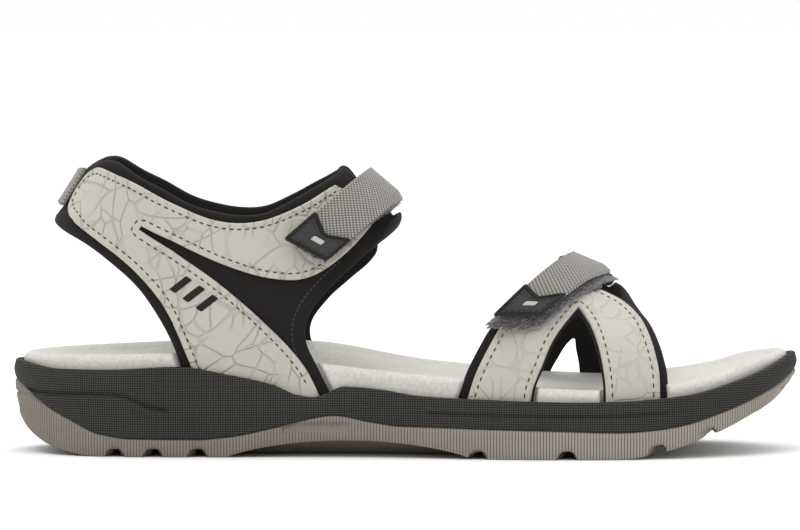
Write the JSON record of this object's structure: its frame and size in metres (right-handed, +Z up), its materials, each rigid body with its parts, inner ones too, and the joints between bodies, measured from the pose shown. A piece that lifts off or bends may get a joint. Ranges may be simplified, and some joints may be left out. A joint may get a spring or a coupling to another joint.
{
  "type": "sport sandal",
  "caption": "Strappy sport sandal for a right foot: leather overlays on padded black linings, hook-and-loop straps over the instep and forefoot, moulded sole.",
  "frame": {"origin": "on the ground, under the middle of the sole's length and width", "axes": "+X to the toe, +Y to the inner (medial) side, +Z up"},
  "size_m": [0.265, 0.0941, 0.0995],
  "materials": {
    "outsole_rubber": "matt taupe rubber",
    "midsole_foam": "matt charcoal moulded foam, fine square texture",
    "board": "fibre board",
    "footbed_foam": "matt foam",
    "footbed_suede": "pale grey brushed suede",
    "black_lining": "black stretch fabric over thin foam",
    "leather": "off-white leather with a crackle emboss",
    "webbing": "mid-grey woven webbing",
    "loop_pile": "fuzzy grey loop pile",
    "hook_tape": "hook tape",
    "tab_rubber": "dark grey moulded rubber",
    "ring_plastic": "dark satin plastic"
  },
  "bodies": {
    "sandal": {"outsole": "outsole_rubber", "midsole": "midsole_foam", "insole_board": "board", "footbed_foam": "footbed_foam", "footbed_cover": "footbed_suede", "quarter_lining": "black_lining", "outer_quarter_overlay": "leather", "inner_quarter_overlay": "leather", "heel_webbing": "webbing", "outer_forefoot_lining": "black_lining", "outer_forefoot_overlay": "leather", "inner_forefoot_lining": "black_lining", "inner_forefoot_overlay": "leather", "ankle_anchor_webbing": "webbing", "ankle_loop_patch": "loop_pile", "ankle_ring_keeper": "black_lining", "forefoot_anchor_webbing": "webbing", "forefoot_loop_patch": "loop_pile", "forefoot_ring_keeper": "black_lining"},
    "ankle_ring": {"ankle_ring": "ring_plastic"},
    "ankle_strap": {"ankle_strap_webbing": "webbing", "ankle_hook_patch": "hook_tape", "ankle_pull_tab": "tab_rubber"},
    "forefoot_ring": {"forefoot_ring": "ring_plastic"},
    "forefoot_strap": {"forefoot_strap_webbing": "webbing", "forefoot_hook_patch": "hook_tape", "forefoot_pull_tab": "tab_rubber"}
  },
  "joints": [
    {"name": "ankle_ring_swing", "type": "hinge", "parent": "sandal", "child": "ankle_ring", "pos_m": [-0.01553, 0.02248, 0.07965], "axis": [-0.766, 0, 0.6428], "range_deg": [0, 40]},
    {"name": "ankle_strap_peel", "type": "hinge", "parent": "ankle_ring", "child": "ankle_strap", "pos_m": [-0.01182, 0.01695, 0.08408], "axis": [-0.766, 0, 0.6428], "range_deg": [0, 140]},
    {"name": "forefoot_ring_swing", "type": "hinge", "parent": "sandal", "child": "forefoot_ring", "pos_m": [0.06093, 0.01818, 0.0587], "axis": [-0.9272, 0, 0.3746], "range_deg": [0, 40]},
    {"name": "forefoot_strap_peel", "type": "hinge", "parent": "forefoot_ring", "child": "forefoot_strap", "pos_m": [0.06191, 0.01062, 0.06114], "axis": [-0.9272, 0, 0.3746], "range_deg": [0, 140]}
  ]
}
